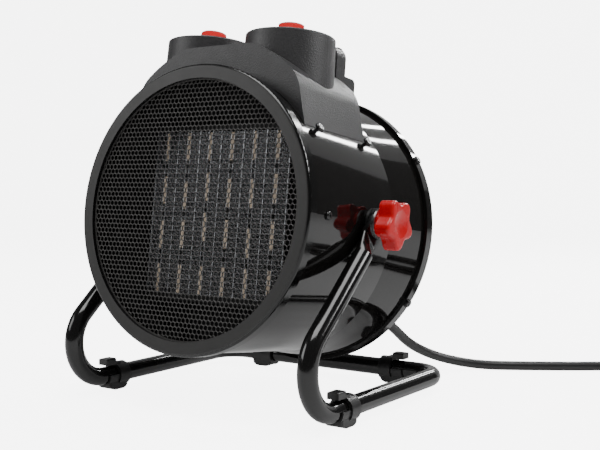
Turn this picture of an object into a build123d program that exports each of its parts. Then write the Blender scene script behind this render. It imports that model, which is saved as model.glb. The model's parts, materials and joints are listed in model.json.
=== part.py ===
from build123d import *
import math
import os

# Round ceramic fan heater on a bent tube stand. Millimetres, +Z up, X to the right, Y to the back.
# The origin is on the floor, in the middle of the stand's footprint.

# ---------------------------------------------------------------- driving dimensions
# stand
TUBE_R = 7.5                 # round tube, 15 mm outside diameter
TUBE_WALL = 1.5
TUBE_Z = 12.0                # height of the floor tubes' centre line
TRACK = 230.0                # between the centre lines of the two side tubes
STAND_DEPTH = 218.0          # outside to outside, front bends to cross tube
FRONT_BEND_R = 32.0
REAR_BEND_R = 22.0
LEG_ANGLE = 40.8             # slope of the legs up to the pivots
PIVOT_Y = -2.0
PIVOT_Z = 144.3
LUG_IN = 110.5               # inner face of the flattened tube end, from the middle plane
LUG_T = 4.0
LUG_W = 20.0
LUG_HOLE_R = 4.5

# tilting drum, drawn about the pivot axis and then leaned back
DRUM_TILT = 7.3
DRUM_R = 108.4
DRUM_REAR_R = 113.4          # the drum widens behind the handle to meet the rear cover
FLARE_FROM = 30.0
SHEET = 1.0
BEZEL_R = 111.0
BEZEL_OPEN_R = 100.0
FRONT = -92.0                # front plane of the bezel
BEZEL_DEPTH = 10.0
DRUM_FRONT = FRONT + 4.0
DRUM_BACK = 80.0
REAR_R = 116.4
REAR_FRONT = 75.0
REAR_BACK = 84.3

# control housing on top of the drum
HOUSING_FRONT = -70.0
HOUSING_BACK = 15.0
CROWN_R = 109.0              # radius of the arched top
CROWN_Z = 25.5               # height of its centre over the drum's axis
SIDE_X = 84.6                # half width of the side wall at SIDE_Z
SIDE_Z = 73.5
SIDE_SLOPE = 0.25
SHOULDER_R = 30.0
HOUSING_WALL = 2.5
FLANGE_R = 111.4
FLANGE_BACK = 28.0
FLANGE_FROM = 48.5           # degrees from the top, each side
FLANGE_TO = 57.0
CUP_X = 40.2
CUP_Y = -30.6
CUP_R = 35.6                 # outside of a cup at its rim
CUP_DRAFT = 1.6              # how much wider the cup is at its foot
CUP_WALL = 3.0
CUP_TOP = 142.2
CUP_FLOOR = 127.5
CUP_FOOT = 92.0

# heating element
CORE_FRONT = -57.2
CORE_DEPTH = 15.0
CORE_HALF_H = 65.3
RAIL_LIP = 4.0               # the rails reach this far behind the core
COLUMNS = 6
COLUMN_PITCH = 22.1
CHIP_L = 22.0
CHIP_T = 3.0
PLATE_T = 0.5
RIB_T = 0.9
FIN_T = 0.25
FIN_PITCH = 4.4
CHIP_UPPER = (18, 14, 21, 16, 16, 20)       # middle heights of each column's two inner chips
CHIP_LOWER = (-18, -17, -11, -16, -22, -16)
CHIP_END = 53.0

# fan and motor
FAN_R = 86.0
FAN_HUB_R = 22.0
FAN_FRONT = 4.0
FAN_DEPTH = 24.0
BLADES = 7
SHAFT_R = 2.5
STATOR_FRONT = 40.0
STATOR_T = 20.0
STATOR_W = 56.0
ROTOR_R = 13.6
STATOR_BORE_R = 14.2
SPIDER_Y = 70.0

# clamps at the pivots
STUD_R = 4.0
SPACER_R = 12.0
BUSH_R = 7.0
STAR_R = 20.0
STAR_T = 12.5
STAR_IN = 120.5              # inner face of the star's arms, from the middle plane
STAR_LOBES = 5

# mains lead
CORD_R = 4.25
BOOT_L = 24.0
BOOT_DROOP = 22.0            # how far the boot points below the drum's axis, degrees
GLAND_X = 65.0
GLAND_Z = -68.0
COIL_X = 282.9
COIL_Y = 247.8
COIL_TURN_OUT = 53.5         # radius of the outermost and innermost turns
COIL_TURN_IN = 33.5
PLUG_R = 18.5
PIN_R = 2.4
PIN_L = 19.0
PIN_SPACING = 19.0
PIN_ROOT_R = 1.8             # the pins' moulded-in roots
PIN_ROOT_L = 8.0

SIDES = {"left": -1, "right": 1}
STEEL_GAP = 0.2

DRUM = Location((0, PIVOT_Y, PIVOT_Z), (-DRUM_TILT, 0, 0))
ALONG_Y = Rotation(-90, 0, 0)     # turns a shape drawn along +Z so that it runs along +Y
ALONG_X = Rotation(0, 90, 0)      # turns a shape drawn along +Z so that it runs along +X

nodes = {}


def tilted(name, shape):
    """Keep a shape drawn in the drum's own frame."""
    nodes[name] = DRUM * shape


def standing(name, shape):
    """Keep a shape drawn in the floor frame."""
    nodes[name] = shape


def rod_y(radius, start, end, x=0.0, z=0.0):
    """Round bar along Y."""
    return Pos(x, start, z) * ALONG_Y * extrude(Circle(radius), end - start)


def rod_x(radius, start, end, y=0.0, z=0.0):
    """Round bar along X."""
    return Pos(start, y, z) * ALONG_X * extrude(Circle(radius), end - start)


def rod_z(radius, start, end, x=0.0, y=0.0):
    """Round bar along Z."""
    return Pos(x, y, start) * extrude(Circle(radius), end - start)


def ring_y(outer, inner, start, end, x=0.0, z=0.0):
    """Round tube along Y."""
    return rod_y(outer, start, end, x, z) - rod_y(inner, start - 1, end + 1, x, z)


def block(x0, x1, y0, y1, z0, z1):
    """Box between two corners."""
    box = Box(x1 - x0, y1 - y0, z1 - z0)
    return Pos((x0 + x1) / 2, (y0 + y1) / 2, (z0 + z1) / 2) * box


def turned(points):
    """Solid of revolution about Y, from (radius, y) points."""
    face = make_face(Polyline(*[(r, y, 0) for r, y in points], close=True))
    return revolve(face, Axis.Y)


def on_drum(shape, angle, radius, y):
    """Place a shape drawn along +Z so that it stands out of the drum, angle degrees from the top."""
    a = math.radians(angle)
    return Pos(radius * math.sin(a), y, radius * math.cos(a)) * Rotation(0, angle, 0) * shape


def pan_head(radius, height, shank_r, shank_l):
    """Pan head screw pointing down, its head's seat at z = 0, with a cross recess."""
    head = rod_z(radius, 0, height)
    head = fillet(head.edges().group_by(Axis.Z)[-1], height * 0.6)
    slot = block(-radius * 0.5, radius * 0.5, -0.4, 0.4, height * 0.55, height + 1)
    return head - slot - Rotation(0, 0, 90) * slot + rod_z(shank_r, -shank_l, 0.1)


def group(solids):
    """Several solids kept in one node."""
    return Compound(children=[s for item in solids for s in item.solids()])


# ---------------------------------------------------------------- stand
def pipe(*points, bend):
    """Hollow round tube bent through these points, which lie in one plane."""
    path = FilletPolyline(*points, radius=bend)
    return sweep(Plane(origin=path @ 0, z_dir=path % 0) * (Circle(TUBE_R) - Circle(TUBE_R - TUBE_WALL)), path)


def stand_tube():
    """One tube bent into two floor runs, a cross run behind and two legs, its ends pressed flat."""
    x = TRACK / 2
    rear = STAND_DEPTH / 2 - TUBE_R
    slope = math.radians(LEG_ANGLE)
    corner = PIVOT_Y - (PIVOT_Z - TUBE_Z) / math.tan(slope)
    round_end = 34.0             # distance from the pivot to where the tube is still round
    ease = 16.0                  # length of the squeeze from round to flat
    leg_y = PIVOT_Y - round_end * math.cos(slope)
    leg_z = PIVOT_Z - round_end * math.sin(slope)
    tube = pipe((-x, 0, TUBE_Z), (-x, rear, TUBE_Z), (x, rear, TUBE_Z), (x, 0, TUBE_Z), bend=REAR_BEND_R)
    for side in SIDES.values():
        tube += pipe((side * x, 0, TUBE_Z), (side * x, corner, TUBE_Z), (side * x, leg_y, leg_z),
                     bend=FRONT_BEND_R)
    for side in SIDES.values():
        leg = Plane(origin=(side * x, leg_y, leg_z), x_dir=(1, 0, 0),
                    z_dir=(0, math.cos(slope), math.sin(slope)))
        flat_x = side * (LUG_IN + LUG_T / 2 - x)
        start = leg * Circle(TUBE_R)
        end = leg.offset(ease) * Pos(flat_x, 0) * RectangleRounded(LUG_T, LUG_W, LUG_T / 2 - 0.05)
        squeeze = loft([start, end])
        reach = round_end - ease
        lug = leg.offset(ease) * Pos(flat_x, 0) * Box(LUG_T, LUG_W, reach,
                                                      align=(Align.CENTER, Align.CENTER, Align.MIN))
        inner = side * LUG_IN if side > 0 else side * (LUG_IN + LUG_T)
        eye = rod_x(LUG_W / 2, inner, inner + LUG_T, PIVOT_Y, PIVOT_Z)
        hole = rod_x(LUG_HOLE_R, inner - 5, inner + 9, PIVOT_Y, PIVOT_Z)
        tube += squeeze + lug + eye - hole
        tube -= hole
    return tube


def foot(y0=0.0):
    """Plastic clip foot for a tube along Y: domed pad, collar round the tube and a thumb tab."""
    half, pad_w, flat, toe = 11.5, 15.0, 4.0, 5.5
    outline = (Polyline((-flat, 0), (flat, 0)) + ThreePointArc((flat, 0), (half * 0.75, 1.6), (half, toe))
               + Polyline((half, toe), (half, TUBE_Z - 3), (-half, TUBE_Z - 3), (-half, toe))
               + ThreePointArc((-half, toe), (-half * 0.75, 1.6), (-flat, 0)))
    pad = extrude(Plane.YZ * make_face(outline), pad_w / 2, both=True)
    pad = fillet(pad.edges().filter_by(Axis.Z), 3.0)
    wrap = rod_y(TUBE_R + 2.8, -0.5, half, 0, TUBE_Z)
    saddle = rod_y(TUBE_R + 1.6, -half, 0, 0, TUBE_Z) - block(-20, 20, -20, 1, TUBE_Z + 1, 40)
    bridge = block(-4.5, 4.5, -1, 5, TUBE_Z + TUBE_R + 1.6, TUBE_Z + TUBE_R + 3.4)
    tab = block(-5, 5, -half, -1, TUBE_Z + TUBE_R + 1.6, TUBE_Z + TUBE_R + 7)
    tab = fillet(tab.edges().filter_by(Axis.Y).group_by(Axis.Z)[-1], 1.5)
    body = pad + wrap + saddle + bridge + tab
    return body - rod_y(TUBE_R, -30, 30, 0, TUBE_Z)


standing("stand_tube", stand_tube())
FRONT_FOOT_Y = -57.6
REAR_FOOT_X = 70.0
for side_name, side in SIDES.items():
    standing(f"foot_front_{side_name}", Pos(side * TRACK / 2, FRONT_FOOT_Y, 0) * foot())
    standing(f"foot_rear_{side_name}",
             Pos(side * REAR_FOOT_X, STAND_DEPTH / 2 - TUBE_R, 0) * Rotation(0, 0, 90 * side) * foot())


# ---------------------------------------------------------------- drum, bezel and covers
def drum_space():
    """The room the drum takes up, with a small gap round it."""
    r, rear_r = DRUM_R + STEEL_GAP, DRUM_REAR_R + STEEL_GAP
    return turned([(0, -200), (r, -200), (r, FLARE_FROM), (rear_r, REAR_FRONT), (rear_r, 200), (0, 200)])


def drum_shell():
    """Rolled sheet drum with a turned-in front lip, a cable window on top and two pivot holes."""
    shell = turned([(DRUM_R, DRUM_FRONT), (DRUM_R, FLARE_FROM), (DRUM_REAR_R, REAR_FRONT),
                    (DRUM_REAR_R, DRUM_BACK), (DRUM_REAR_R - SHEET, DRUM_BACK),
                    (DRUM_REAR_R - SHEET, REAR_FRONT), (DRUM_R - SHEET, FLARE_FROM),
                    (DRUM_R - SHEET, DRUM_FRONT + SHEET), (DRUM_R - 5, DRUM_FRONT + SHEET),
                    (DRUM_R - 5, DRUM_FRONT)])
    shell -= block(-28, 28, -48, -8, 60, 120)
    shell -= rod_x(BUSH_R, -120, 120)
    return shell


def front_bezel():
    """Moulded ring round the outlet: a flat face with a rounded edge, and a skirt over the drum."""
    face_t = 3.0
    skirt = DRUM_R + STEEL_GAP
    ring = turned([(BEZEL_OPEN_R, FRONT), (BEZEL_R, FRONT), (BEZEL_R, FRONT + BEZEL_DEPTH),
                   (skirt, FRONT + BEZEL_DEPTH), (skirt, FRONT + face_t), (BEZEL_OPEN_R, FRONT + face_t)])
    edges = ring.edges().filter_by(GeomType.CIRCLE)
    outer = [e for e in edges if abs(e.radius - BEZEL_R) < 0.1 and abs(e.center().Y - FRONT) < 0.1]
    return fillet(outer, 2.5)


def rear_cover():
    """Pressed rear cover: deep rim over the drum's end, and a slotted intake."""
    t = 1.2
    seat = DRUM_REAR_R + STEEL_GAP
    cover = turned([(REAR_R, REAR_FRONT), (REAR_R, REAR_BACK), (0, REAR_BACK), (0, REAR_BACK - t),
                    (seat, REAR_BACK - t), (seat, REAR_FRONT)])
    rows = ((36.0, 57.0, 24), (62.0, 88.0, 36))
    for inner, outer, count in rows:
        for i in range(count):
            slot = extrude(SlotCenterToCenter(outer - inner - 4, 4.0), 6, both=True)
            place = Rotation(0, i * 360 / count, 0) * Pos((inner + outer) / 2, REAR_BACK, 0)
            cover -= place * Rotation(90, 0, 0) * slot
    cover -= rod_y(9.2, REAR_BACK - 5, REAR_BACK + 5, GLAND_X, GLAND_Z)
    return cover


tilted("drum_shell", drum_shell())
tilted("front_bezel", front_bezel())
tilted("front_grille", rod_y(DRUM_R - 2.5, FRONT + 3, DRUM_FRONT))
tilted("rear_cover", rear_cover())


# ---------------------------------------------------------------- control housing and handle
def housing_profile(inset=0.0):
    """Arched outline of the housing across the drum, drawn in XZ and closed below the drum's top."""
    crown = CROWN_R - inset
    side = SIDE_X - inset
    foot_z = 40.0
    foot_x = side + SIDE_SLOPE * (SIDE_Z - foot_z)
    arch = Circle(crown)
    trunk = Polygon((-foot_x, foot_z), (foot_x, foot_z), (side - SIDE_SLOPE * (130 - SIDE_Z), 130),
                    (-side + SIDE_SLOPE * (130 - SIDE_Z), 130), align=None)
    outline = (Pos(0, CROWN_Z) * arch) & trunk
    shoulders = outline.vertices().filter_by(lambda v: v.Y > 90)
    return fillet(shoulders, max(SHOULDER_R - inset, 2.0))


def across(sketch, y0, y1):
    """Extrude a sketch drawn as (x, z) from y0 to y1."""
    return Pos(0, y1, 0) * Rotation(90, 0, 0) * extrude(sketch, y1 - y0)


def flange_ring():
    """Foot flanges of the housing, one each side, lying on the drum."""
    ring = ring_y(FLANGE_R, DRUM_R + STEEL_GAP, HOUSING_FRONT, FLANGE_BACK)
    keep = []
    for side in SIDES.values():
        a0, a1 = (math.radians(a) for a in (FLANGE_FROM, FLANGE_TO))
        wedge = Polygon((0, 0), (side * 200 * math.sin(a0), 200 * math.cos(a0)),
                        (side * 200 * math.sin(a1), 200 * math.cos(a1)), align=None)
        keep.append(ring & across(wedge, HOUSING_FRONT - 1, FLANGE_BACK + 1))
    return keep[0] + keep[1]


def control_housing():
    """Saddle on the drum with two open cups for the knobs, hollow underneath."""
    wall = HOUSING_WALL
    cups = [Pos(side * CUP_X, CUP_Y, 0) for side in SIDES.values()]
    body = across(housing_profile(), HOUSING_FRONT, HOUSING_BACK)
    for cup in cups:
        rim = Pos(0, 0, CUP_FOOT) * Cone(CUP_R + CUP_DRAFT, CUP_R, CUP_TOP - CUP_FOOT,
                                         align=(Align.CENTER, Align.CENTER, Align.MIN))
        rim = fillet(rim.edges().group_by(Axis.Z)[-1], 1.2)
        body += cup * rim
    body -= drum_space()
    hollow = across(housing_profile(wall), HOUSING_FRONT + wall, HOUSING_BACK - wall)
    for cup in cups:
        hollow += cup * rod_z(CUP_R - CUP_WALL, 90, CUP_FLOOR - wall)
        hollow -= cup * rod_z(CUP_R - CUP_WALL + 0.01, CUP_FLOOR - wall, CUP_TOP)
    body -= hollow
    for cup in cups:
        body -= cup * rod_z(CUP_R - CUP_WALL, CUP_FLOOR, CUP_TOP + 5)
        body -= cup * rod_z(4.0, CUP_FLOOR - 10, CUP_FLOOR + 5)
    return body + flange_ring()


HANDLE_HALF = 57.0
HANDLE_FRONT = 12.5
HANDLE_TOP = 147.0
GRIP_FRONT = 19.0            # the grip bar sits behind the posts' front faces, clear of the housing
HANDLE_BAR_D = 13.5
HANDLE_FOOT_TOP = 122.5
HANDLE_FOOT_BACK = 42.0
HANDLE_LEG_W = 14.0


def carry_handle():
    """Arched carrying handle behind the knobs, on two feet that sit on the drum."""
    bar_under = HANDLE_TOP - 14.0
    front = across(Pos(0, 100) * RectangleRounded(2 * HANDLE_HALF, 2 * (HANDLE_TOP - 100), 11.0),
                   HANDLE_FRONT, HANDLE_FRONT + HANDLE_BAR_D)
    gap = across(Pos(0, 80) * RectangleRounded(2 * (HANDLE_HALF - HANDLE_LEG_W), 2 * (bar_under - 80), 8.0),
                 HANDLE_FRONT - 1, HANDLE_FRONT + HANDLE_BAR_D + 1)
    grip = block(-HANDLE_HALF + 7, HANDLE_HALF - 7, GRIP_FRONT, GRIP_FRONT + HANDLE_BAR_D, bar_under, HANDLE_TOP)
    grip = fillet(grip.edges().filter_by(Axis.X), 5.0)
    notch = across(Pos(0, HANDLE_TOP - 7) * Rectangle(2 * (HANDLE_HALF - HANDLE_LEG_W), 20),
                   HANDLE_FRONT - 1, HANDLE_FRONT + HANDLE_BAR_D + 1)
    bow = front - gap - notch + grip
    feet = []
    for side in SIDES.values():
        x0, x1 = sorted((side * HANDLE_HALF, side * (HANDLE_HALF - HANDLE_LEG_W)))
        heel = block(x0, x1, HOUSING_BACK + 0.2, HANDLE_FOOT_BACK, 60, HANDLE_FOOT_TOP)
        heel = fillet(heel.edges().filter_by(Axis.X).sort_by(Axis.Z)[-2:].sort_by(Axis.Y)[-1:], 4.5)
        feet.append(heel)
    handle = bow + feet[0] + feet[1]
    handle -= across(offset(housing_profile(), STEEL_GAP), HANDLE_FRONT - 1, HOUSING_BACK + 0.2)
    return handle - drum_space()


tilted("control_housing", control_housing())
tilted("carry_handle", carry_handle())


def control_knob(grip_angle):
    """Domed knob: a round skirt and a thick grip bar across it, bored for its spindle."""
    base = CUP_FLOOR + 0.8
    skirt = rod_z(22.0, base, base + 9)
    skirt = fillet(skirt.edges().group_by(Axis.Z)[-1], 2.0)
    top = CUP_TOP + 12
    end_r, arch_r = 30.0, 13.0
    bar = block(-10, 10, -23, 23, base + 4, top + 2)
    grip = bar & rod_z(21.0, base, top + 8)
    grip = fillet(grip.edges().filter_by(Axis.Z), 3.0)
    grip = grip & (rod_y(arch_r, -30, 30, 0, top - arch_r) + block(-15, 15, -30, 30, base, top - arch_r))
    grip = grip & Pos(0, 0, top - end_r) * Sphere(end_r)
    return Rotation(0, 0, grip_angle) * (skirt + grip) - rod_z(3.05, base - 1, base + 14)


def spindle():
    """Turning shaft between a control and its knob."""
    return rod_z(3.0, 118.0, CUP_FLOOR + 0.8 + 13.5)


def control_body():
    """Body of a rotary control under a cup's floor, bored for its spindle."""
    case = block(-15, 15, -14, 14, 105.3, 120.5)
    case = fillet(case.edges().filter_by(Axis.Z), 2.0)
    neck = rod_z(5.5, 120.5, CUP_FLOOR - HOUSING_WALL)
    return case + neck - rod_z(3.06, 117.5, 130)


for name, side, angle in (("thermostat", -1, 45.0), ("selector", 1, 35.0)):
    place = Pos(side * CUP_X, CUP_Y, 0)
    tilted(f"{name}_knob", place * control_knob(angle))
    tilted(f"{name}_spindle", place * spindle())
    tilted(f"{name}_body", place * control_body())

tilted("terminal_block", block(-16, 16, CUP_Y + 2, CUP_Y + 18, 107, 119)
       - group([rod_z(2.2, 112, 125, x, CUP_Y + 10) for x in (-10, 0, 10)]))


# ---------------------------------------------------------------- screws
def ring_of_screws(angles, radius, rows, screw):
    """Screws standing out of the drum at these angles and rows."""
    return group([on_drum(screw, a, radius, y) for a in angles for y in rows])


tilted("housing_screws", ring_of_screws((-54.5, 54.5), FLANGE_R, (-57, 12), pan_head(3.8, 2.4, 1.6, 5.5)))
tilted("rim_screws", ring_of_screws((-59, 59, -121, 121), REAR_R, (79.8,), pan_head(3.6, 2.2, 1.5, 7.5)))
tilted("baffle_screws", ring_of_screws((-90, 90, 180), DRUM_R, (-64.0,), pan_head(3.2, 2.0, 1.5, 4.0)))
tilted("handle_screws", group([Pos(s * 50, 35, HANDLE_FOOT_TOP) * pan_head(3.2, 2.0, 1.5, 8.0)
                               for s in SIDES.values()]))


# ---------------------------------------------------------------- heating element
CORE_BACK = CORE_FRONT + CORE_DEPTH
CORE_HALF_W = COLUMN_PITCH * COLUMNS / 2
CHIP_STACK = CHIP_T + 2 * PLATE_T
FIN_W = (COLUMN_PITCH - CHIP_STACK - RIB_T) / 2


def column_x(k):
    """Middle of chip column k."""
    return (k - (COLUMNS - 1) / 2) * COLUMN_PITCH


def fin_strip(x0):
    """Corrugated aluminium strip, folded back and forth between two plates."""
    folds = int(2 * CORE_HALF_H / FIN_PITCH)
    step = FIN_PITCH / 2
    start = -folds * FIN_PITCH / 2
    half = FIN_T * math.hypot(FIN_W, step) / step / 2     # half the sheet's breadth along X
    edge = [(x0 + (FIN_W - half if i % 2 else half), start + i * step) for i in range(2 * folds + 1)]
    near = [(x - half, z) for x, z in edge]
    far = [(x + half, z) for x, z in reversed(edge)]
    return across(make_face(Polyline(*near, *far, close=True)), CORE_FRONT + 0.6, CORE_BACK - 0.6)


def slab(x0, x1, y0=CORE_FRONT, y1=CORE_BACK, half=CORE_HALF_H):
    """Upright plate of the element."""
    return block(x0, x1, y0, y1, -half, half)


chips, fins, electrodes, ribs = [], [], [], []
for k in range(COLUMNS):
    x = column_x(k)
    for z in (CHIP_END, CHIP_UPPER[k], CHIP_LOWER[k], -CHIP_END):
        chips.append(block(x - CHIP_T / 2, x + CHIP_T / 2, CORE_FRONT, CORE_BACK,
                           z - CHIP_L / 2, z + CHIP_L / 2))
    for side in SIDES.values():
        inner = x + side * CHIP_T / 2
        electrodes.append(slab(min(inner, inner + side * PLATE_T), max(inner, inner + side * PLATE_T)))
        fins.append(fin_strip(x + CHIP_STACK / 2 if side > 0 else x - CHIP_STACK / 2 - FIN_W))
for k in range(COLUMNS + 1):
    x = column_x(k) - COLUMN_PITCH / 2
    ribs.append(slab(x - RIB_T / 2, x + RIB_T / 2))
tilted("ptc_chips", group(chips))
tilted("fin_strips", group(fins))
tilted("electrode_plates", group(electrodes))
tilted("fin_plates", group(ribs))


def element_rail(sign):
    """Channel that holds the core's ends, with mounting ears at the back."""
    z0, z1 = sorted((sign * CORE_HALF_H, sign * (CORE_HALF_H + 5)))
    w = CORE_HALF_W + 3
    rail = block(-w, w, CORE_FRONT - 0.5, CORE_BACK + RAIL_LIP, z0, z1)
    lip0, lip1 = sorted((sign * (CORE_HALF_H + 5), sign * (CORE_HALF_H + 12)))
    return rail + block(-w, w, CORE_BACK + RAIL_LIP - 1.2, CORE_BACK + RAIL_LIP, lip0, lip1)


for name, sign in (("top", 1), ("bottom", -1)):
    tilted(f"element_rail_{name}", element_rail(sign))

BAFFLE_Y = CORE_BACK + RAIL_LIP
baffle = rod_y(DRUM_R - SHEET - 0.2, BAFFLE_Y, BAFFLE_Y + 1)
baffle += ring_y(DRUM_R - SHEET - 0.2, DRUM_R - SHEET - 1.4, BAFFLE_Y - 30, BAFFLE_Y + 1)
baffle -= block(-CORE_HALF_W - 1, CORE_HALF_W + 1, BAFFLE_Y - 1, BAFFLE_Y + 2, -CORE_HALF_H, CORE_HALF_H)
tilted("baffle_plate", baffle)

terminals = [block(column_x(k) - 3, column_x(k) + 3, BAFFLE_Y + 1, BAFFLE_Y + 9, CORE_HALF_H + 8,
                   CORE_HALF_H + 8.8) for k in range(COLUMNS)]
tilted("element_terminals", group(terminals))
cutout = rod_y(8.0, BAFFLE_Y + 1, BAFFLE_Y + 8, 0, 84) + block(-12, 12, BAFFLE_Y + 1, BAFFLE_Y + 2, 80, 88)
tilted("thermal_cutout", cutout)


# ---------------------------------------------------------------- fan and motor
def fan_impeller():
    """Axial impeller: a hub and twisted blades, bored for the shaft."""
    hub = rod_y(FAN_HUB_R, FAN_FRONT, FAN_FRONT + FAN_DEPTH)
    hub = fillet(hub.edges().filter_by(GeomType.CIRCLE).sort_by(Axis.Y)[0], 5.0)
    blades = []
    for i in range(BLADES):
        root = Plane(origin=(FAN_HUB_R - 3, FAN_FRONT + FAN_DEPTH / 2, 0), x_dir=(0, 1, 0), z_dir=(1, 0, 0))
        tip = Plane(origin=(FAN_R, FAN_FRONT + FAN_DEPTH / 2, 0), x_dir=(0, 1, 0), z_dir=(1, 0, 0))
        inner = root * Rotation(0, 0, 40) * Rectangle(26, 1.6)
        outer = tip * Rotation(0, 0, 62) * Rectangle(48, 1.4)
        blades.append(Rotation(0, i * 360 / BLADES, 0) * loft([inner, outer]))
    wheel = hub
    for blade in blades:
        wheel += blade
    rim = ring_y(FAN_R, 20, FAN_FRONT - 20, FAN_FRONT + FAN_DEPTH + 20)
    wheel = wheel & (rim + rod_y(21, FAN_FRONT - 20, FAN_FRONT + FAN_DEPTH + 20))
    return wheel - rod_y(SHAFT_R, 0, 100)


STATOR_BACK = STATOR_FRONT + STATOR_T
tilted("fan_impeller", fan_impeller())
tilted("motor_shaft", rod_y(SHAFT_R, FAN_FRONT + 2, STATOR_BACK + 11))
tilted("motor_rotor", rod_y(ROTOR_R, STATOR_FRONT + 1, STATOR_BACK - 1)
       - rod_y(SHAFT_R, 0, 100))
half_stator = STATOR_W / 2
stator = block(-half_stator, half_stator, STATOR_FRONT, STATOR_BACK, -half_stator - 6, half_stator)
stator -= rod_y(STATOR_BORE_R, 0, 100)
stator -= block(-16, 16, 0, 100, -27, -17)
tilted("motor_stator", stator)
coil = block(-15, 15, STATOR_FRONT - 8, STATOR_BACK + 8, -40, -18)
coil = fillet(coil.edges().filter_by(Axis.Z), 4.0)
coil -= block(-20, 20, STATOR_FRONT - 0.1, STATOR_BACK + 0.1, -50, -26.9)
tilted("motor_coil", coil)


BRACKET_GAP = 4.0
for name, y0, y1 in (("front", STATOR_FRONT - BRACKET_GAP, STATOR_FRONT - BRACKET_GAP - 2),
                     ("rear", STATOR_BACK + BRACKET_GAP, STATOR_BACK + BRACKET_GAP + 2)):
    low, high = sorted((y0, y1))
    bracket = block(-26, 26, low, high, -8, 8)
    for sx in (-1, 1):
        post0, post1 = (high, STATOR_FRONT) if name == "front" else (STATOR_BACK, low)
        bracket += rod_y(3.5, post0, post1, sx * 21, 0)
    bracket -= rod_y(5.0, low - 1, high + 1)
    tilted(f"motor_bracket_{name}", bracket)
    tilted(f"bearing_{name}", ring_y(5.0, SHAFT_R + 0.05, low - 1.5, high + 1.5))

SPIDER_R = DRUM_REAR_R - SHEET - 1.2
spider = block(-SPIDER_R, SPIDER_R, SPIDER_Y + 2, SPIDER_Y + 4, -9, 9) & rod_y(SPIDER_R, 0, 100)
spider -= rod_y(7.0, 0, 100)
for sx in (-1, 1):
    spider += rod_y(3.5, STATOR_BACK + BRACKET_GAP + 2, SPIDER_Y + 2, sx * 21, 0)
tilted("motor_spider", spider)
tilted("motor_screws", group([Pos(sx * 21, SPIDER_Y + 4, 0) * ALONG_Y * pan_head(3.0, 1.8, 1.4, 1.0)
                              for sx in (-1, 1)]))
shroud = ring_y(DRUM_R - SHEET - 0.2, FAN_R + 3, 15, 16) + ring_y(FAN_R + 4.2, FAN_R + 3, 8, 24)
tilted("fan_shroud", shroud)

# ---------------------------------------------------------------- pivot clamps
def star_knob():
    """Five-lobed star grip with a hub behind it, drawn along +X from its inner face."""
    middle_r, swing, steps = STAR_R - 2.7, 2.7, 60
    rim = []
    for i in range(steps):
        a = 2 * math.pi * i / steps
        r = middle_r - swing * math.sin(STAR_LOBES * a)
        rim.append((r * math.cos(a), r * math.sin(a)))
    star = make_face(Spline(*rim, periodic=True))
    grip = extrude(star, STAR_T)
    grip = fillet(grip.edges().group_by(Axis.Z)[-1], 2.2)
    grip = fillet(grip.edges().group_by(Axis.Z)[0], 1.0)
    hub = rod_z(10.0, -4.1, 0.5)
    dish = Pos(0, 0, STAR_T + 38.6) * Sphere(40)
    return grip + hub - dish


def outward(side, shape):
    """Turn a shape drawn along +Z so that it points away from the middle plane, one lobe down."""
    turn = Rotation(0, 90, 0) * Rotation(0, 0, 90) if side > 0 else Rotation(0, -90, 0) * Rotation(0, 0, -90)
    return turn * shape


WASHER_IN = LUG_IN + LUG_T + STEEL_GAP
WASHER_T = 1.5
for side_name, side in SIDES.items():
    flange = rod_x(SPACER_R, *sorted((side * 100, side * (LUG_IN - STEEL_GAP)))) - rod_y(DRUM_R, -20, 20)
    bush = flange + rod_x(BUSH_R, *sorted((side * 90, side * DRUM_R)))
    tilted(f"pivot_bush_{side_name}", bush - rod_x(STUD_R + 0.06, -130, 130))
    washer = rod_z(SPACER_R, WASHER_IN, WASHER_IN + WASHER_T) - rod_z(STUD_R + 0.3, 100, 130)
    tilted(f"clamp_washer_{side_name}", outward(side, washer))
    grip = Pos(0, 0, STAR_IN) * star_knob() - rod_z(STUD_R, 100, STAR_IN + 6)
    tilted(f"star_knob_{side_name}", outward(side, grip))
    tilted(f"clamp_stud_{side_name}", outward(side, rod_z(STUD_R, 92.0, STAR_IN + 6)))


# ---------------------------------------------------------------- mains lead
def in_floor_frame(x, y, z):
    """A point of the drum's frame in the floor frame."""
    t = math.radians(DRUM_TILT)
    return (x, PIVOT_Y + y * math.cos(t) + z * math.sin(t), PIVOT_Z - y * math.sin(t) + z * math.cos(t))


droop = math.radians(BOOT_DROOP)
boot_dir = (0, math.cos(droop), -math.sin(droop))
boot = Plane(origin=(GLAND_X, REAR_BACK, GLAND_Z), x_dir=(1, 0, 0), z_dir=boot_dir)
gland = rod_y(9.0, REAR_BACK - 6, REAR_BACK + 3, GLAND_X, GLAND_Z)
gland += rod_y(12.0, REAR_BACK, REAR_BACK + 3, GLAND_X, GLAND_Z)
gland += loft([boot * Circle(8.0), boot.offset(BOOT_L) * Circle(CORD_R + 1.2)])
tilted("cable_gland", gland)

exit_l = BOOT_L + STEEL_GAP
boot_end = in_floor_frame(GLAND_X, REAR_BACK + exit_l * math.cos(droop), GLAND_Z - exit_l * math.sin(droop))
route = [
    boot_end,
    (65.0, 110.8, 45.0),
    (67.5, 132.0, 29.5),
    (76.0, 156.0, 17.0),
    (92.0, 178.5, 8.5),
    (113.0, 196.5, CORD_R),
    (142.0, 212.5, CORD_R),
    (187.0, 241.0, CORD_R),
    (224.6, 270.0, CORD_R),
]


def bend_radii(points):
    """Largest arc for each corner of a route, from its two runs and its turn."""
    radii = []
    for a, b, c in zip(points, points[1:], points[2:]):
        before, after = Vector(*b) - Vector(*a), Vector(*c) - Vector(*b)
        turn = math.radians(before.get_angle(after))
        radii.append(0.45 * min(before.length, after.length) / math.tan(turn / 2))
    return radii


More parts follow.
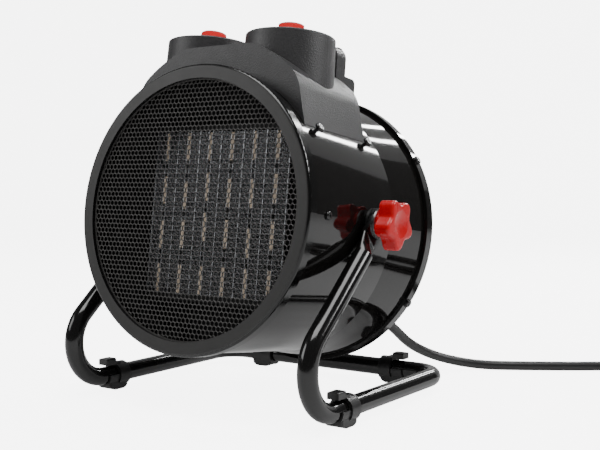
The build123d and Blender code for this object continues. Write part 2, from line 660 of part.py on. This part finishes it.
radii = bend_radii(route)
path = FilletPolyline(*route, radius=radii)
lead = sweep(Plane(origin=path @ 0, z_dir=path % 0) * Circle(CORD_R), path)
print("lead: bend radii", [round(r) for r in radii], "length", round(path.length, 1),
      "volume ratio", round(lead.volume / (math.pi * CORD_R ** 2 * path.length), 4))
standing("power_cord", lead)

hank = rod_z(COIL_TURN_OUT + CORD_R + 0.8, 0, 4 * CORD_R, COIL_X, COIL_Y)
hank -= rod_z(COIL_TURN_IN - CORD_R - 0.8, -1, 30, COIL_X, COIL_Y)
standing("cord_coil", fillet(hank.edges().filter_by(GeomType.CIRCLE), 3.5))

plug_x = COIL_X + COIL_TURN_OUT
plug_z = PLUG_R + 0.5
plug_back = COIL_Y - 33.0
grip_front = plug_back - 72.0
plug = loft([Plane(origin=(plug_x, plug_back, plug_z), z_dir=(0, -1, 0)) * Circle(CORD_R + 1.0),
             Plane(origin=(plug_x, plug_back - 28, plug_z), z_dir=(0, -1, 0)) * Circle(8.0)])
plug += rod_y(12.5, plug_back - 52, plug_back - 27.9, plug_x, plug_z)
plug += rod_y(PLUG_R, grip_front, plug_back - 48, plug_x, plug_z)
pins = []
for pin_x in (plug_x - PIN_SPACING / 2, plug_x + PIN_SPACING / 2):
    root = rod_y(PIN_ROOT_R, grip_front - 0.1, grip_front + PIN_ROOT_L, pin_x, plug_z)
    tip = fillet(rod_y(PIN_R, grip_front - PIN_L, grip_front, pin_x, plug_z).edges().sort_by(Axis.Y)[0], 1.0)
    plug -= root
    pins.append(root + tip)
standing("mains_plug", plug)
standing("plug_pins", group(pins))


# ---------------------------------------------------------------- write one STEP per node
os.makedirs("parts", exist_ok=True)
for name, shape in nodes.items():
    export_step(shape, f"parts/{name}.step")
print(len(nodes), "nodes written")
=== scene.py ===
import json
import math
import random
import bpy
from mathutils import Matrix, Vector


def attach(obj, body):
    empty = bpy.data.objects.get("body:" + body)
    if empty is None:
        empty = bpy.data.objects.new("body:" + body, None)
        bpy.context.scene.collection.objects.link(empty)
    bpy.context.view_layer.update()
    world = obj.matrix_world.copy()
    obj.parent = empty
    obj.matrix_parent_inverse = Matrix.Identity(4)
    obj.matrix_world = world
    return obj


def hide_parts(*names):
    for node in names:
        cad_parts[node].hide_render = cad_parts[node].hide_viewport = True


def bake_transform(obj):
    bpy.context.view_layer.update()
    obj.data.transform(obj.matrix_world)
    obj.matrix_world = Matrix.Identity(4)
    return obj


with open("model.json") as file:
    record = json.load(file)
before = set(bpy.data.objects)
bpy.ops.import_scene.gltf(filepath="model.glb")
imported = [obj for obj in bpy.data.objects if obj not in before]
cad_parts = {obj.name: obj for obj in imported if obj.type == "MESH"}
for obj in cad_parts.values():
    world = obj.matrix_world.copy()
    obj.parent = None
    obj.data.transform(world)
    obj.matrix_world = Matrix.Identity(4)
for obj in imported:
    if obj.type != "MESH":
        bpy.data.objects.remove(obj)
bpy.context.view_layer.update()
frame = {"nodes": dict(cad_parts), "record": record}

MM = 0.001

# ---------------------------------------------------------------- the drum's own frame
JOINTS = {j["name"]: j for j in frame["record"]["behaviour"]["joints"]}
PIVOT = Vector(JOINTS["drum_tilt"]["pos_m"])
BACKWARD = Vector(JOINTS["fan_spin"]["axis"])
LEAN = math.asin(-BACKWARD.z)
DRUM = Matrix.Translation(PIVOT) @ Matrix.Rotation(-LEAN, 4, "X")


def at_drum(x, y, z):
    """A point given in the drum's frame, in millimetres, in the row frame."""
    return DRUM @ Vector((x * MM, y * MM, z * MM))


# ---------------------------------------------------------------- camera
EYE = Vector((0.4963, -0.6644, 0.1810))
LOOK = Vector((-0.5662, 0.8228, -0.0493))
camera_data = bpy.data.cameras.new("camera")
camera_data.lens = 60.0
camera_data.sensor_width = 36.0
camera = bpy.data.objects.new("camera", camera_data)
camera.location = EYE
camera.rotation_euler = LOOK.to_track_quat("-Z", "Y").to_euler()
bpy.context.collection.objects.link(camera)
bpy.context.scene.camera = camera


# ---------------------------------------------------------------- mesh helpers
def new_object(name, verts, faces, smooth=True):
    """An object from plain vertex and face lists, in metres."""
    mesh = bpy.data.meshes.new(name)
    mesh.from_pydata([tuple(v) for v in verts], [], faces)
    mesh.update()
    for poly in mesh.polygons:
        poly.use_smooth = smooth
    obj = bpy.data.objects.new(name, mesh)
    bpy.context.collection.objects.link(obj)
    return obj


def nurbs_points(name, control):
    """The points of the smooth line with these control points."""
    curve = bpy.data.curves.new(name, "CURVE")
    curve.dimensions = "3D"
    spline = curve.splines.new("NURBS")
    spline.points.add(len(control) - 1)
    for point, co in zip(spline.points, control):
        point.co = (*co, 1.0)
    spline.order_u = 3
    spline.use_endpoint_u = True
    spline.resolution_u = 8
    obj = bpy.data.objects.new(name, curve)
    mesh = bpy.data.meshes.new_from_object(obj)
    points = [v.co.copy() for v in mesh.vertices]
    bpy.data.objects.remove(obj)
    bpy.data.curves.remove(curve)
    bpy.data.meshes.remove(mesh)
    return points


def tube(name, points, radius, sides=20):
    """A closed round tube along these points; radius may be a number or one per point."""
    radii = radius if isinstance(radius, (list, tuple)) else [radius] * len(points)
    tangents = [(points[min(i + 1, len(points) - 1)] - points[max(i - 1, 0)]).normalized()
                for i in range(len(points))]
    across = tangents[0].orthogonal().normalized()
    verts, faces = [], []
    for i, (p, t, r) in enumerate(zip(points, tangents, radii)):
        across = (across - t * across.dot(t)).normalized()
        other = t.cross(across)
        for k in range(sides):
            a = 2 * math.pi * k / sides
            verts.append(p + across * (r * math.cos(a)) + other * (r * math.sin(a)))
    for i in range(len(points) - 1):
        for k in range(sides):
            a, b = i * sides + k, i * sides + (k + 1) % sides
            faces.append((a, b, b + sides, a + sides))
    faces.append(tuple(range(sides))[::-1])
    faces.append(tuple(range((len(points) - 1) * sides, len(points) * sides)))
    return new_object(name, verts, faces)


def lathe(name, profile, place, sides=64):
    """A solid of revolution: (radius, height) points in millimetres about the local Z of place."""
    verts, faces = [], []
    for r, z in profile:
        for k in range(sides):
            a = 2 * math.pi * k / sides
            verts.append(place @ Vector((r * MM * math.cos(a), r * MM * math.sin(a), z * MM)))
    for i in range(len(profile) - 1):
        for k in range(sides):
            a, b = i * sides + k, i * sides + (k + 1) % sides
            faces.append((a, b, b + sides, a + sides))
    if profile[0] != profile[-1]:
        faces.append(tuple(range(sides))[::-1])
        faces.append(tuple(range((len(profile) - 1) * sides, len(profile) * sides)))
    return new_object(name, verts, faces)


# ---------------------------------------------------------------- materials
def shader(name, color, roughness, metallic=0.0, coat=0.0, coat_roughness=0.05, tint=0.08, tint_scale=60.0,
           rough_spread=0.06, rough_scale=90.0, bump=0.0, bump_scale=1500.0, bump_depth=0.0002,
           stretch=(1, 1, 1), specular=0.5, ior=1.5):
    """A Principled material with noise in its colour, its roughness and its surface."""
    mat = bpy.data.materials.new(name)
    mat.use_nodes = True
    nodes, links = mat.node_tree.nodes, mat.node_tree.links
    bsdf = nodes["Principled BSDF"]
    bsdf.inputs["Metallic"].default_value = metallic
    bsdf.inputs["IOR"].default_value = ior
    bsdf.inputs["Specular IOR Level"].default_value = specular
    bsdf.inputs["Coat Weight"].default_value = coat
    bsdf.inputs["Coat Roughness"].default_value = coat_roughness
    coords = nodes.new("ShaderNodeTexCoord")
    mapping = nodes.new("ShaderNodeMapping")
    mapping.inputs["Scale"].default_value = stretch
    links.new(coords.outputs["Object"], mapping.inputs["Vector"])

    def noise(scale, detail=3.0):
        n = nodes.new("ShaderNodeTexNoise")
        n.inputs["Scale"].default_value = scale
        n.inputs["Detail"].default_value = detail
        links.new(mapping.outputs["Vector"], n.inputs["Vector"])
        return n.outputs["Fac"]

    mix = nodes.new("ShaderNodeMix")
    mix.data_type = "RGBA"
    dark = [c * (1 - tint) for c in color]
    light = [min(1.0, c * (1 + tint) + 0.02 * tint) for c in color]
    mix.inputs["A"].default_value = (*dark, 1)
    mix.inputs["B"].default_value = (*light, 1)
    links.new(noise(tint_scale), mix.inputs["Factor"])
    links.new(mix.outputs["Result"], bsdf.inputs["Base Color"])
    spread = nodes.new("ShaderNodeMapRange")
    spread.inputs["To Min"].default_value = max(0.02, roughness - rough_spread)
    spread.inputs["To Max"].default_value = min(1.0, roughness + rough_spread)
    links.new(noise(rough_scale), spread.inputs["Value"])
    links.new(spread.outputs["Result"], bsdf.inputs["Roughness"])
    if bump:
        relief = nodes.new("ShaderNodeBump")
        relief.inputs["Strength"].default_value = bump
        relief.inputs["Distance"].default_value = bump_depth
        links.new(noise(bump_scale, 2.0), relief.inputs["Height"])
        links.new(relief.outputs["Normal"], bsdf.inputs["Normal"])
    return mat


TURNED_AWAY, FACING = 0.80, 0.97      # cosines between which the face's finish takes over


def glossy_side(mat, forward, color, roughness):
    """Make a material dark and glossy where its surface turns away from forward, in the row frame."""
    nodes, links = mat.node_tree.nodes, mat.node_tree.links
    bsdf = nodes["Principled BSDF"]
    coords = nodes.new("ShaderNodeTexCoord")
    facing = nodes.new("ShaderNodeVectorMath")
    facing.operation = "DOT_PRODUCT"
    facing.inputs[1].default_value = forward
    links.new(coords.outputs["Normal"], facing.inputs[0])
    step = nodes.new("ShaderNodeMapRange")
    step.inputs["From Min"].default_value = TURNED_AWAY
    step.inputs["From Max"].default_value = FACING
    links.new(facing.outputs["Value"], step.inputs["Value"])
    face = bsdf.inputs["Base Color"].links[0].from_socket
    mix = nodes.new("ShaderNodeMix")
    mix.data_type = "RGBA"
    mix.inputs["A"].default_value = (*color, 1)
    links.new(step.outputs["Result"], mix.inputs["Factor"])
    links.new(face, mix.inputs["B"])
    links.new(mix.outputs["Result"], bsdf.inputs["Base Color"])
    rough = bsdf.inputs["Roughness"].links[0].from_socket
    blend = nodes.new("ShaderNodeMix")
    blend.inputs["A"].default_value = roughness
    links.new(step.outputs["Result"], blend.inputs["Factor"])
    links.new(rough, blend.inputs["B"])
    links.new(blend.outputs["Result"], bsdf.inputs["Roughness"])
    return mat


MATS = {
    # Near-black for the sheets inside the drum: painted shade standing in for the dark inside of the drum.
    "interior_painted_shade": shader("interior_painted_shade", (0.004, 0.004, 0.004), 0.6, specular=0.25, bump=0.2,
                             bump_scale=900),
    "stand_gloss_black": shader("stand_enamel", (0.0035, 0.0034, 0.0034), 0.13, bump=0.10, bump_scale=220,
                                bump_depth=0.0003),
    "drum_gloss_black": shader("drum_enamel", (0.0040, 0.0036, 0.0034), 0.06, rough_spread=0.02,
                               specular=0.4, bump=0.05, bump_scale=70, bump_depth=0.0004),
    "bezel_plastic": glossy_side(shader("bezel_plastic", (0.020, 0.0195, 0.019), 0.46, specular=0.4,
                                        bump=0.25, bump_scale=1400, bump_depth=0.0001),
                                 -BACKWARD, (0.003, 0.003, 0.003), 0.10),
    "housing_plastic": shader("housing_plastic", (0.022, 0.0215, 0.0225), 0.44, specular=0.5, bump=0.9,
                              bump_scale=900, bump_depth=0.0003, tint=0.2, tint_scale=700),
    "knob_red": shader("knob_red", (0.50, 0.001, 0.001), 0.28, specular=0.4, bump=0.05, bump_scale=300),
    "star_red": shader("star_red", (0.50, 0.001, 0.004), 0.26, specular=0.35, bump=0.05, bump_scale=300),
    "foot_plastic": shader("foot_plastic", (0.006, 0.006, 0.006), 0.38, bump=0.2, bump_scale=1400),
    "screw_steel": shader("screw_black", (0.006, 0.006, 0.006), 0.16, bump=0.15, bump_scale=2500),
    "zinc_steel": shader("zinc_steel", (0.55, 0.55, 0.55), 0.30, metallic=1.0, bump=0.15, bump_scale=2500),
    "grille_wire": shader("grille_wire", (0.060, 0.058, 0.056), 0.50, specular=0.3, bump=0.15,
                          bump_scale=3500),
    "fin_aluminium": shader("fin_aluminium", (0.42, 0.43, 0.45), 0.40, metallic=1.0, bump=0.2,
                            bump_scale=900),
    "chip_ceramic": shader("chip_ceramic", (0.62, 0.50, 0.38), 0.70, bump=0.5, bump_scale=700, tint=0.2,
                           tint_scale=260),
    "galvanised_sheet": shader("galvanised_sheet", (0.40, 0.41, 0.42), 0.42, metallic=1.0, tint=0.15,
                               tint_scale=120),
    "cord_rubber": shader("cord_rubber", (0.008, 0.008, 0.008), 0.42, bump=0.3, bump_scale=1600),
    "plug_plastic": shader("plug_plastic", (0.008, 0.008, 0.008), 0.46, bump=0.3, bump_scale=1800),
    "pin_brass": shader("pin_brass", (0.70, 0.66, 0.58), 0.25, metallic=1.0, bump=0.1, bump_scale=2500),
    "copper_enamel": shader("copper_enamel", (0.50, 0.16, 0.05), 0.30, metallic=0.8, bump=0.6, bump_scale=400,
                            stretch=(0.1, 1, 1)),
    "fan_plastic": shader("fan_aluminium", (0.45, 0.46, 0.47), 0.40, metallic=1.0, bump=0.15, bump_scale=700),
    "control_plastic": shader("control_plastic", (0.02, 0.02, 0.022), 0.35, bump=0.15, bump_scale=1500),
    "terminal_nylon": shader("terminal_nylon", (0.62, 0.58, 0.48), 0.48, bump=0.15, bump_scale=1500),
    "bearing_bronze": shader("bearing_bronze", (0.45, 0.26, 0.12), 0.42, metallic=1.0, bump=0.2,
                             bump_scale=2000),
}
SLOT_OF = {s["node"]: s["material_slot"] for s in frame["record"]["subparts"]}
# The baffle plate and element rails get the near-black interior colour, painted shade for the dark inside of
# the drum.
SLOT_OF.update({n: "interior_painted_shade" for n in ("baffle_plate", "element_rail_top", "element_rail_bottom")})


def paint(obj, slot):
    """Give a piece the material of one of the record's slots."""
    obj.data.materials.clear()
    obj.data.materials.append(MATS[slot])


for node, obj in frame["nodes"].items():
    for k in range(max(1, len(obj.material_slots))):
        if not obj.material_slots:
            obj.data.materials.append(MATS[SLOT_OF[node]])
        obj.material_slots[k].material = MATS[SLOT_OF[node]]

# ---------------------------------------------------------------- mains lead
CORD_R = 4.25 * MM
BOOT_L, BOOT_DROOP = 24.2, math.radians(22.0)
GLAND_X, GLAND_Y, GLAND_Z = 65.0, 84.3, -68.0
cord_exit = at_drum(GLAND_X, GLAND_Y + BOOT_L * math.cos(BOOT_DROOP), GLAND_Z - BOOT_L * math.sin(BOOT_DROOP))
ROUTE = [
    (0.0650, 0.1108, 0.0450),
    (0.0675, 0.1320, 0.0295),
    (0.0760, 0.1560, 0.0170),
    (0.0920, 0.1785, 0.0085),
    (0.1130, 0.1965, CORD_R),
    (0.1420, 0.2125, CORD_R),
    (0.1870, 0.2410, CORD_R),
    (0.2246, 0.2700, CORD_R),
]
COIL = Vector((0.2829, 0.2478, 0.0))
TURN_OUT, PITCH = 53.5 * MM, 8.55 * MM
PLUG_Z = 19.0 * MM
STEPS = 18                       # control points per turn


def coil_points():
    """Control points of the put-away turns, three wound inwards and the rest outwards on top of them."""
    start = math.radians(128.3)
    turns = 5 + start / (2 * math.pi)
    points = []
    count = int(turns * STEPS)
    for i in range(count + 1):
        t = turns * i / count
        lap = min(int(t), 5)
        ease = min(1.0, max(0.0, (t - lap - 0.80) / 0.20))
        ease = ease * ease * (3 - 2 * ease)
        inward = (0, 1, 2, 2, 1, 0)
        here, after = inward[lap], inward[min(lap + 1, 5)]
        r = (TURN_OUT - PITCH * (here + (after - here) * ease)) / math.cos(math.pi / STEPS) ** 0.5
        z = CORD_R + (2 * CORD_R + 0.0002) * (1 if lap > 2 else ease if lap == 2 else 0)
        a = start - 2 * math.pi * t
        points.append((COIL.x + r * math.cos(a), COIL.y + r * math.sin(a), z))
    return points


lead_out = [(COIL.x + TURN_OUT + 0.0004, COIL.y - 0.018, PLUG_Z - 0.002),
            (COIL.x + TURN_OUT, COIL.y - 0.033, PLUG_Z)]
cord_line = nurbs_points("route", [tuple(cord_exit)] + ROUTE + coil_points() + lead_out)
cord_length = sum((b - a).length for a, b in zip(cord_line, cord_line[1:]))
power_cord = tube("mains_cord", cord_line, CORD_R, sides=20)
paint(power_cord, "cord_rubber")
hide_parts("power_cord", "cord_coil")
print("cord length", cord_length)
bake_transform(power_cord)


# ---------------------------------------------------------------- honeycomb grille
BEZEL_FRONT = -92.0
GRILLE_Y = BEZEL_FRONT + 3.0      # front of the mesh
GRILLE_T = 0.9
CELL_W, ROW_H = 4.0, 3.64
WEB = 0.62
RIDGE = 0.28                      # how far each web slopes back from its crest
MESH_REACH = 101.6                # the mesh runs this far from the middle
RIM_IN, RIM_OUT = 99.0, 103.4
RIM_FRONT, RIM_BACK = GRILLE_Y + 0.1, GRILLE_Y + 0.9


def honeycomb():
    """A plate of six-sided holes, each web a low ridge, held in a flat rim."""
    tall = ROW_H * 2 / 3
    corners = [(0, tall), (-CELL_W / 2, tall / 2), (-CELL_W / 2, -tall / 2), (0, -tall),
               (CELL_W / 2, -tall / 2), (CELL_W / 2, tall / 2)]
    shrink = 1 - WEB / CELL_W
    verts, faces, shared = [], [], {}

    def put(x, y, z):
        verts.append(at_drum(x, y, z))
        return len(verts) - 1

    def common(x, y, z):
        key = (round(x, 2), round(y, 2), round(z, 2))
        if key not in shared:
            shared[key] = put(x, y, z)
        return shared[key]

    rows = int(MESH_REACH / ROW_H) + 1
    for j in range(-rows, rows + 1):
        columns = int(MESH_REACH / CELL_W) + 1
        for i in range(-columns, columns + 1):
            x = (i + 0.5 * (j % 2)) * CELL_W
            z = j * ROW_H
            if math.hypot(x, z) > MESH_REACH:
                continue
            crest = [common(x + cx, GRILLE_Y, z + cz) for cx, cz in corners]
            lip = [put(x + cx * shrink, GRILLE_Y + RIDGE, z + cz * shrink) for cx, cz in corners]
            back = [put(x + cx * shrink, GRILLE_Y + GRILLE_T, z + cz * shrink) for cx, cz in corners]
            heel = [common(x + cx, GRILLE_Y + GRILLE_T, z + cz) for cx, cz in corners]
            for k in range(6):
                n = (k + 1) % 6
                faces.append((crest[k], crest[n], lip[n], lip[k]))
                faces.append((lip[k], lip[n], back[n], back[k]))
                faces.append((back[k], back[n], heel[n], heel[k]))
    return new_object("grille_mesh", verts, faces, smooth=False)


grille = honeycomb()
paint(grille, "grille_wire")
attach(grille, "drum")
rim_turn = DRUM @ Matrix.Rotation(math.radians(-90), 4, "X")
grille_rim = lathe("grille_rim", [(RIM_IN, RIM_FRONT), (RIM_OUT, RIM_FRONT), (RIM_OUT, RIM_BACK),
                                  (RIM_IN, RIM_BACK), (RIM_IN, RIM_FRONT)], rim_turn, sides=128)
paint(grille_rim, "grille_wire")
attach(grille_rim, "drum")
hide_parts("front_grille")

# ---------------------------------------------------------------- fine fins of the element
CORE_FRONT, CORE_DEPTH, CORE_HALF = -57.2, 15.0, 65.3
COLUMN_PITCH, COLUMNS = 22.1, 6
CHIP_STACK, RIB_T = 4.0, 0.9
FIN_W = (COLUMN_PITCH - CHIP_STACK - RIB_T) / 2
FIN_STEP = 1.1                    # half of the fold's pitch
FIN_T = 0.16


def serpentine(x0, seed):
    """A strip folded back and forth between x0 and the next plate, as its edge line in (x, z)."""
    rng = random.Random(seed)
    count = int((2 * CORE_HALF - 1.2) / FIN_STEP)
    line = []
    low = -count * FIN_STEP / 2
    for k in range(count + 1):
        z = low + k * FIN_STEP + rng.uniform(-0.10, 0.10)
        ends = (x0 + 0.45, x0 + FIN_W - 0.45)
        a, b = ends if k % 2 == 0 else ends[::-1]
        line.append((a, z))
        line.append(((a + b) / 2, z + rng.uniform(-0.12, 0.12)))
        line.append((b, z))
        if k < count:
            bulge = 0.35 if b > a else -0.35
            line.append((b + bulge, z + FIN_STEP / 2))
    return line


def fin_pack():
    """All the folded strips as one mesh of thin ribbons."""
    verts, faces = [], []
    y0, y1 = CORE_FRONT + 0.6, CORE_FRONT + CORE_DEPTH - 0.6
    for k in range(COLUMNS):
        middle = (k - (COLUMNS - 1) / 2) * COLUMN_PITCH
        for side, x0 in enumerate((middle - CHIP_STACK / 2 - FIN_W, middle + CHIP_STACK / 2)):
            line = serpentine(x0, 10 * k + side)
            first = len(verts)
            for i, (x, z) in enumerate(line):
                px, pz = line[max(i - 1, 0)]
                nx, nz = line[min(i + 1, len(line) - 1)]
                size = math.hypot(nx - px, nz - pz)
                ox, oz = -(nz - pz) / size * FIN_T / 2, (nx - px) / size * FIN_T / 2
                verts += [at_drum(x + ox, y0, z + oz), at_drum(x - ox, y0, z - oz),
                          at_drum(x - ox, y1, z - oz), at_drum(x + ox, y1, z + oz)]
            for i in range(len(line) - 1):
                a, b = first + 4 * i, first + 4 * i + 4
                faces += [(a + n, a + (n + 1) % 4, b + (n + 1) % 4, b + n) for n in range(4)]
    return new_object("fin_folds", verts, faces, smooth=False)


fins = fin_pack()
paint(fins, "fin_aluminium")
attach(fins, "drum")
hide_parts("fin_strips")

# ---------------------------------------------------------------- floor and light
def glowing(name, color, seen, cast):
    """A pale matt surface with a glow: seen is its strength to the eye, cast what it throws on the object."""
    mat = shader(name, color, 0.7, tint=0.01, tint_scale=3, specular=0.1)
    nodes, links = mat.node_tree.nodes, mat.node_tree.links
    bsdf = nodes["Principled BSDF"]
    bsdf.inputs["Emission Color"].default_value = (1, 1, 1, 1)
    path = nodes.new("ShaderNodeLightPath")
    strength = nodes.new("ShaderNodeMapRange")
    strength.inputs["To Min"].default_value = cast
    strength.inputs["To Max"].default_value = seen
    links.new(path.outputs["Is Camera Ray"], strength.inputs["Value"])
    links.new(strength.outputs["Result"], bsdf.inputs["Emission Strength"])
    return mat


floor = new_object("floor", [(-9, -6, 0), (6, -6, 0), (6, 6, 0), (-9, 6, 0)], [(0, 1, 2, 3)], smooth=False)
floor.data.materials.append(glowing("floor_pale", (0.6, 0.6, 0.6), 6.0, 0.35))
backdrop = new_object("backdrop", [(-9, 3.2, 0), (1.2, 3.2, 0), (1.2, 3.2, 3.0), (-9, 3.2, 3.0)],
                      [(0, 1, 2, 3)], smooth=False)
backdrop.data.materials.append(glowing("backdrop_pale", (0.6, 0.6, 0.6), 6.0, 0.3))
world = bpy.data.worlds.new("studio")
bpy.context.scene.world = world
world.use_nodes = True
world.node_tree.nodes["Background"].inputs["Color"].default_value = (1.0, 1.0, 1.0, 1)
world.node_tree.nodes["Background"].inputs["Strength"].default_value = 0.12


def soft_light(name, place, aim, size, power):
    """A rectangular soft box."""
    data = bpy.data.lights.new(name, "AREA")
    data.shape = "RECTANGLE"
    data.size, data.size_y = size
    data.energy = power
    obj = bpy.data.objects.new(name, data)
    obj.location = place
    obj.rotation_euler = (Vector(aim) - Vector(place)).to_track_quat("-Z", "Y").to_euler()
    bpy.context.collection.objects.link(obj)


soft_light("overhead", (0.15, -0.25, 1.7), (0.05, -0.05, 0.15), (1.1, 1.1), 30)
soft_light("back_strip_right", (0.20, 1.44, 1.02), (0.05, 0, 0.2), (0.07, 0.7), 7)
soft_light("back_strip_left", (-0.12, 1.44, 0.97), (0, 0, 0.2), (0.07, 0.7), 6)
soft_light("side", (1.7, 0.9, 1.3), (0.05, 0, 0.2), (0.7, 0.7), 26)
soft_light("front_fill", (-1.3, -1.2, 1.0), (0, 0, 0.15), (1.0, 0.8), 12)
